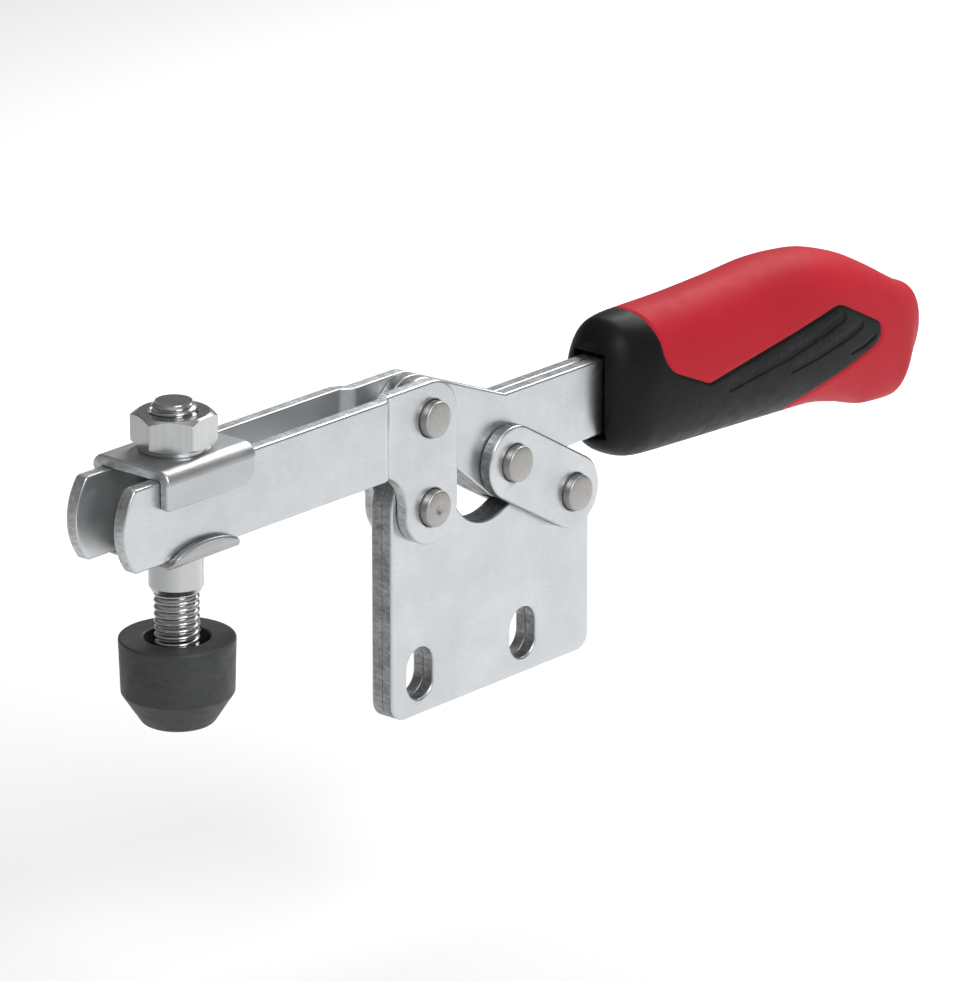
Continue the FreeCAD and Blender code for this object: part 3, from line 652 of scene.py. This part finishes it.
def make_screw():
    """Clamping screw with a rolled thread, and its head down in the cap."""
    top, low, pitch, crest, root, chamfer = 33.7, -11.8, 1.25, 3.97, 3.28, 0.9
    columns, rows_per_turn, hidden = 60, 12, root - 0.1
    rise = [0.0, 0.14, 0.42, 0.68, 0.88, 0.98]
    shape = rise + [1.0] + rise[:0:-1]
    rows = math.ceil((top - low) / pitch + 2) * rows_per_turn
    bm = bmesh.new()
    rings = []
    for row in range(rows):
        share = shape[row % rows_per_turn]
        ring = []
        for k in range(columns):
            heading = 2 * math.pi * k / columns
            level = low - pitch + pitch * (row / rows_per_turn + k / columns)
            level = min(top, max(low, level))
            limit = min(crest - chamfer + (top - level), crest) if level > low else root
            radius = min(root + (crest - root) * share, max(limit, hidden))
            if level == top:
                radius = hidden
            x, y = radius * math.cos(heading), radius * math.sin(heading)
            ring.append(bm.verts.new((x, y, level)))
        rings.append(ring)
    for i, (ring, following) in enumerate(zip(rings, rings[1:])):
        for k in range(columns - 1):
            bm.faces.new((ring[k], ring[k + 1], following[k + 1], following[k]))
        if i + 1 + rows_per_turn < rows:
            after, last = rings[i + rows_per_turn], rings[i + 1 + rows_per_turn]
            bm.faces.new((ring[-1], after[0], last[0], following[-1]))
    bmesh.ops.remove_doubles(bm, verts=bm.verts, dist=0.002)
    open_edges = [edge for edge in bm.edges if edge.is_boundary]
    bmesh.ops.holes_fill(bm, edges=open_edges, sides=0)
    head = hexagon_mesh([(0, HEAD_LOW, 0), (CROWN, HEAD_LOW, 0), (None, HEAD_LOW, 1),
                         (None, HEAD_HIGH, 0), (0, HEAD_HIGH, 0)])
    spare = bpy.data.meshes.new("screw_head")
    head.to_mesh(spare)
    head.free()
    bm.from_mesh(spare)
    bpy.data.meshes.remove(spare)
    make_piece("clamping_screw", bm, [NUT_STEEL], "spindle", at=(SCREW.x, 0, 0),
               sharp=50)


def make_collar():
    """Threaded collar under the flanged washer."""
    radius, bevel, mouth, depth = 4.8, 0.9, 0.3, 0.4
    high = BAR_LOW - SEAT_GAP - WASHER_SHEET
    profile = [(THREAD_BORE, depth), (THREAD_BORE + mouth, 0), (radius - bevel / 2, 0),
               (radius, bevel), (radius, high), (THREAD_BORE, high)]
    make_piece("threaded_collar", turned(profile, closed=True), [NUT_STEEL], "screw_carrier",
               at=(SCREW.x, 0, 0), sharp=20)


def make_cap():
    """Rubber cap that holds the head of the screw."""
    foot, mouth, pocket = -24.1, 5.75, 7.55
    outline = belt(
        (0, foot),
        (5.3, -22.5, 1.6, 1),
        (9.35, -18.3, 0.5, 1),
        (9.77, -8.98, 0.38, 1),
        (6.05, -8.9, 0.3, 1),
        (mouth, HEAD_HIGH),
        (pocket, HEAD_HIGH),
        (pocket, HEAD_LOW),
        (0, HEAD_LOW),
        step=9,
    )
    make_piece("rubber_cap", turned([tuple(p) for p in outline], segments=120), [RUBBER],
               "spindle", at=(SCREW.x, 0, 0), sharp=40)


# Grip

def smooth_slopes(values):
    """Slopes of a curve through evenly spaced values that never overshoots them."""
    steps = np.diff(values)
    slopes = np.zeros(len(values))
    for i in range(1, len(steps)):
        if steps[i - 1] * steps[i] > 0:
            slopes[i] = 2 * steps[i - 1] * steps[i] / (steps[i - 1] + steps[i])
    slopes[0] = 1.5 * steps[0] - 0.5 * steps[1]
    slopes[-1] = 1.5 * steps[-1] - 0.5 * steps[-2]
    return slopes


def smooth(values, place):
    """Smooth curve through evenly spaced values, read at a place counted in values."""
    slopes = smooth_slopes(values)
    i = min(int(place), len(values) - 2)
    t = place - i
    return ((1 + 2 * t) * (1 - t) ** 2 * values[i] + t * (1 - t) ** 2 * slopes[i]
            + t * t * (3 - 2 * t) * values[i + 1] + t * t * (t - 1) * slopes[i + 1])


def grip_rings(spacing=0.27):
    """Sections along the grip, about evenly spaced, as (x, middle, half height, half width)."""
    columns = np.array(SECTIONS).T
    fine = np.array([[smooth(column, place) for column in columns]
                     for place in np.linspace(0, len(SECTIONS) - 1, 1200)])
    path = np.hypot(np.diff(fine[:, 0]), np.diff(fine[:, 1]) + np.diff(fine[:, 3]))
    travel = np.concatenate([[0], np.cumsum(path)])
    places = np.linspace(0, travel[-1], math.ceil(travel[-1] / spacing))
    x, top, low, half = [np.interp(places, travel, fine[:, k]) for k in range(4)]
    rings = [list(row) for row in zip(x, (top + low) / 2, (top - low) / 2, half)]
    end = rings[-1]
    dome, start, steps = 0.61, math.radians(45), 8
    for turn in np.linspace(start, math.radians(90), steps + 1)[1:-1]:
        share = math.cos(turn) / math.cos(start)
        reach = dome * (math.sin(turn) - math.sin(start))
        rings.append([end[0] + reach, end[1], end[2] * share, end[3] * share])
    return rings


def grip_mesh(around=300):
    """Closed skin of the whole grip."""
    bm = bmesh.new()
    angles = [2 * math.pi * (k + 0.5) / around for k in range(around)]
    rings = []
    for x, centre, height, half in grip_rings():
        ring = []
        for angle in angles:
            across, up = math.cos(angle), math.sin(angle)
            y = half * math.copysign(abs(across) ** (2 / ROUNDNESS), across)
            z = centre + height * math.copysign(abs(up) ** (2 / ROUNDNESS), up)
            ring.append(bm.verts.new((x, y, z)))
        rings.append(ring)
    for ring, following in zip(rings, rings[1:]):
        for k in range(around):
            j = (k + 1) % around
            bm.faces.new((ring[k], ring[j], following[j], following[k]))
    bm.faces.new(rings[0])
    bm.faces.new(rings[-1])
    bmesh.ops.recalc_face_normals(bm, faces=bm.faces)
    return bm


def sleeve_outline():
    """Edge of the soft sleeve seen from the side: front, belly, tongue, crest, dip and collar."""
    left, bottom, top = 40.0, -30.0, 40.0
    return belt(
        (left, bottom),
        (98.2, bottom),
        (101.5, -7.5, 2.8, -1),
        (120.9, 4.1, 2.5, 1),
        (109.3, 6.85, 5.4, 1),
        (72.2, 9.3, 3.0, -1),
        (65.6, 15.3, 5.8, -1),
        (53.8, 16.2, 6.0, 1),
        (54.0, top),
        (left, top),
        step=3,
    )


def temporary(name, bm):
    """Unlisted object for a boolean."""
    bmesh.ops.recalc_face_normals(bm, faces=bm.faces)
    mesh = bpy.data.meshes.new(name)
    bm.to_mesh(mesh)
    bm.free()
    thing = bpy.data.objects.new(name, mesh)
    bpy.context.scene.collection.objects.link(thing)
    return thing


def combine(base, tool, operation):
    """New temporary object: a boolean of two others."""
    modifier = base.modifiers.new("cut", "BOOLEAN")
    modifier.operation = operation
    modifier.object = tool
    modifier.solver = "EXACT"
    view = bpy.context.evaluated_depsgraph_get()
    mesh = bpy.data.meshes.new_from_object(base.evaluated_get(view))
    base.modifiers.remove(modifier)
    thing = bpy.data.objects.new(f"{base.name}_{operation.lower()}", mesh)
    bpy.context.scene.collection.objects.link(thing)
    return thing


def prism(name, outline, half_width):
    """Block whose side view is the outline."""
    bm = bmesh.new()
    near = [bm.verts.new((p.x, -half_width, p.y)) for p in outline]
    far = [bm.verts.new((p.x, half_width, p.y)) for p in outline]
    for i in range(len(near)):
        j = (i + 1) % len(near)
        bm.faces.new((near[i], near[j], far[j], far[i]))
    bm.faces.new(near)
    bm.faces.new(far)
    return temporary(name, bm)


def distance_to(path, x, z):
    """Distance of many points from a path of straight runs, in the side view."""
    nearest = np.full(len(x), 1e9)
    for (ax, az), (bx, bz) in zip(path, path[1:]):
        run = (bx - ax) ** 2 + (bz - az) ** 2
        share = np.clip(((x - ax) * (bx - ax) + (z - az) * (bz - az)) / run, 0, 1)
        gap = np.hypot(x - ax - share * (bx - ax), z - az - share * (bz - az))
        nearest = np.minimum(nearest, gap)
    return nearest


# Grooves pressed into the tongue on each side: path, half width and depth
TONGUE_GROOVES = [
    ([(78.0, 3.9), (84.5, 4.9), (94.5, 6.2), (103.5, 8.0), (110.8, 9.8)], 0.75, 0.22),
    ([(96.0, 3.1), (103.5, 4.1), (112.5, 5.9), (116.4, 6.9)], 0.65, 0.20),
    ([(113.6, 1.9), (118.2, 2.6), (121.2, 3.7)], 0.12, 0.18),
]
GROOVE_WALL = 0.22
SEAM_DEPTH = 0.26
SEAM_WIDTH = 0.30


def refine_walls(mesh, grooves):
    """Divide the skin finely along the walls of the grooves."""
    margin = 0.25
    bm = bmesh.new()
    bm.from_mesh(mesh)
    places = np.array([vertex.co for vertex in bm.verts])
    near = np.zeros(len(places), bool)
    for path, half_width, _ in grooves:
        past = distance_to(path, places[:, 0], places[:, 2]) - half_width
        near |= (past > -margin) & (past < GROOVE_WALL + margin)
    bm.verts.ensure_lookup_table()
    edges = [edge for edge in bm.edges if all(near[vertex.index] for vertex in edge.verts)]
    bmesh.ops.subdivide_edges(bm, edges=edges, cuts=2, use_grid_fill=True)
    bm.to_mesh(mesh)
    bm.free()


def press_grooves(mesh, seam, grooves):
    """Sink the seam and the grooves into the skin."""
    if grooves:
        refine_walls(mesh, grooves)
    count = len(mesh.vertices)
    places = np.empty(count * 3)
    mesh.vertices.foreach_get("co", places)
    places = places.reshape(count, 3)
    rings = np.array(grip_rings(1.0))
    x, y, z = places.T
    centre, height, half = [np.interp(x, rings[:, 0], rings[:, k]) for k in (1, 2, 3)]
    across, up = y / half, (z - centre) / height
    shell = (np.abs(across) ** ROUNDNESS + np.abs(up) ** ROUNDNESS) ** (1 / ROUNDNESS)
    depth = SEAM_DEPTH * np.exp(-(distance_to(seam, x, z) / SEAM_WIDTH) ** 2)
    for path, half_width, fall in grooves:
        past = np.clip((distance_to(path, x, z) - half_width) / GROOVE_WALL, 0, 1)
        depth = np.maximum(depth, fall * (1 - past * past * (3 - 2 * past)))
    depth[shell < 0.985] = 0
    normal_y = np.sign(across) * np.abs(across) ** (ROUNDNESS - 1) / half
    normal_z = np.sign(up) * np.abs(up) ** (ROUNDNESS - 1) / height
    length = np.hypot(normal_y, normal_z) + 1e-9
    places[:, 1] -= depth * normal_y / length
    places[:, 2] -= depth * normal_z / length
    mesh.vertices.foreach_set("co", places.ravel())
    mesh.update()


def make_grip():
    """Hard red body and the soft black sleeve moulded over its front and into both sides."""
    outline = sleeve_outline()
    seam = [tuple(p) for p in outline[1:-1]]
    ahead, inside, beyond = 40, LEVER_END + 2, 20
    mouth_start, mouth_end, corner, gap, mouth_half = 49.2, 49.5, 1.3, 1.0, 3.7
    low, high = LEVER_LOW - gap + corner, LEVER_HIGH + gap - corner
    skin = temporary("grip_skin", grip_mesh())
    region = prism("sleeve_region", outline, beyond)
    tang = prism("tang_space", belt((ahead, LEVER_LOW), (inside, LEVER_LOW),
                                    (inside, LEVER_HIGH), (ahead, LEVER_HIGH)), SHEET)
    mouth = prism("mouth_space", belt((mouth_start, low, corner, 1), (mouth_end, low, corner, 1),
                                      (mouth_end, high, corner, 1), (mouth_start, high, corner, 1),
                                      (ahead, high + corner), (ahead, low - corner)), mouth_half)
    plans = {"grip_sleeve": ("INTERSECT", TONGUE_GROOVES, BLACK, "black_grip"),
             "grip_body": ("DIFFERENCE", [], RED, "red_plastic")}
    spare = [skin, region, tang, mouth]
    for name, (operation, grooves, finish, slot) in plans.items():
        thing = combine(skin, region, operation)
        press_grooves(thing.data, seam, grooves)
        spare.append(thing)
        for tool in (tang, mouth):
            thing = combine(thing, tool, "DIFFERENCE")
            spare.append(thing)
        bm = bmesh.new()
        bm.from_mesh(thing.data)
        make_piece(name, bm, [finish], "lever", sharp=38)
    for thing in spare:
        bpy.data.objects.remove(thing)


# Stage, light and camera

def make_floor():
    """Plain pale floor well below the clamp."""
    half, drop = 3.0, 0.07
    mesh = bpy.data.meshes.new("floor")
    mesh.from_pydata([(-half, -half, 0), (half, -half, 0), (half, half, 0), (-half, half, 0)],
                     [], [(0, 1, 2, 3)])
    floor = bpy.data.objects.new("floor", mesh)
    floor.location = (0, 0, -drop)
    bpy.context.scene.collection.objects.link(floor)
    material = bpy.data.materials.new("floor_white")
    material.use_nodes = True
    shader = material.node_tree.nodes["Principled BSDF"]
    shader.inputs["Base Color"].default_value = (0.97, 0.97, 0.97, 1)
    shader.inputs["Roughness"].default_value = 0.9
    shader.inputs["Specular IOR Level"].default_value = 0.1
    mesh.materials.append(material)


def make_world():
    """Studio dome: grey towards the horizon and bright overhead."""
    world = bpy.data.worlds.new("studio")
    bpy.context.scene.world = world
    world.use_nodes = True
    nodes, links = world.node_tree.nodes, world.node_tree.links
    place = nodes.new("ShaderNodeTexCoord")
    split = nodes.new("ShaderNodeSeparateXYZ")
    ramp = nodes.new("ShaderNodeValToRGB")
    links.new(place.outputs["Generated"], split.inputs["Vector"])
    links.new(split.outputs["Z"], ramp.inputs["Fac"])
    links.new(ramp.outputs["Color"], nodes["Background"].inputs["Color"])
    stops = [(0.0, 0.6), (0.1, 0.3), (0.25, 0.16), (0.5, 0.18), (0.86, 0.28), (0.95, 0.7)]
    elements = ramp.color_ramp.elements
    while len(elements) < len(stops):
        elements.new(0.5)
    for element, (place_z, grey) in zip(elements, stops):
        element.position = place_z
        element.color = (grey, grey, grey * 1.01, 1)
    nodes["Background"].inputs["Strength"].default_value = 1.0


def soft_light(name, place, target, size, power):
    """Square area light that looks at a point."""
    data = bpy.data.lights.new(name, "AREA")
    data.shape = "SQUARE"
    data.size = size
    data.energy = power
    light = bpy.data.objects.new(name, data)
    light.location = place
    light.rotation_euler = (Vector(target) - Vector(place)).to_track_quat("-Z", "Y").to_euler()
    bpy.context.scene.collection.objects.link(light)


def make_lights():
    soft_light("key", (0.504, 0.105, 0.43), (0.45, 0.1, -0.07), 0.45, 3.9)
    soft_light("front", (-0.25, -0.75, 0.6), (-0.15, -0.2, -0.07), 0.5, 6.0)


def make_camera():
    """Camera at the photograph's angle and framing."""
    azimuth, elevation, distance_mm = math.radians(-49.13), math.radians(18.85), 1231
    focal_px, image_px, sensor_mm = 6971, 980, 36
    pivot_px = Vector((411.2, 501.2))
    centre_px = Vector((490, 490.5))
    back = Vector((math.sin(azimuth) * math.cos(elevation),
                   -math.cos(azimuth) * math.cos(elevation), math.sin(elevation)))
    right = Vector((math.cos(azimuth), math.sin(azimuth), 0))
    up = back.cross(right)
    off = (pivot_px - centre_px) * distance_mm / focal_px
    place = back * distance_mm - right * off.x + up * off.y
    data = bpy.data.cameras.new("camera")
    data.sensor_width = sensor_mm
    data.lens = focal_px / image_px * sensor_mm
    data.clip_end = 20
    camera = bpy.data.objects.new("camera", data)
    camera.location = MAIN_PIVOT + place * MM
    camera.rotation_mode = "QUATERNION"
    camera.rotation_quaternion = (-back).to_track_quat("-Z", "Y")
    bpy.context.scene.collection.objects.link(camera)
    bpy.context.scene.camera = camera


make_plates()
make_pins()
make_saddle()
make_flanged_washer()
make_nut()
make_screw()
make_collar()
make_cap()
make_grip()
for node in ("main_bush", "lever_bush", "link_bush"):
    bush = frame["nodes"][node]
    bush.data.materials.clear()
    bush.data.materials.append(BRONZE)
make_floor()
make_world()
make_lights()
make_camera()
bpy.context.scene.view_settings.view_transform = "Standard"
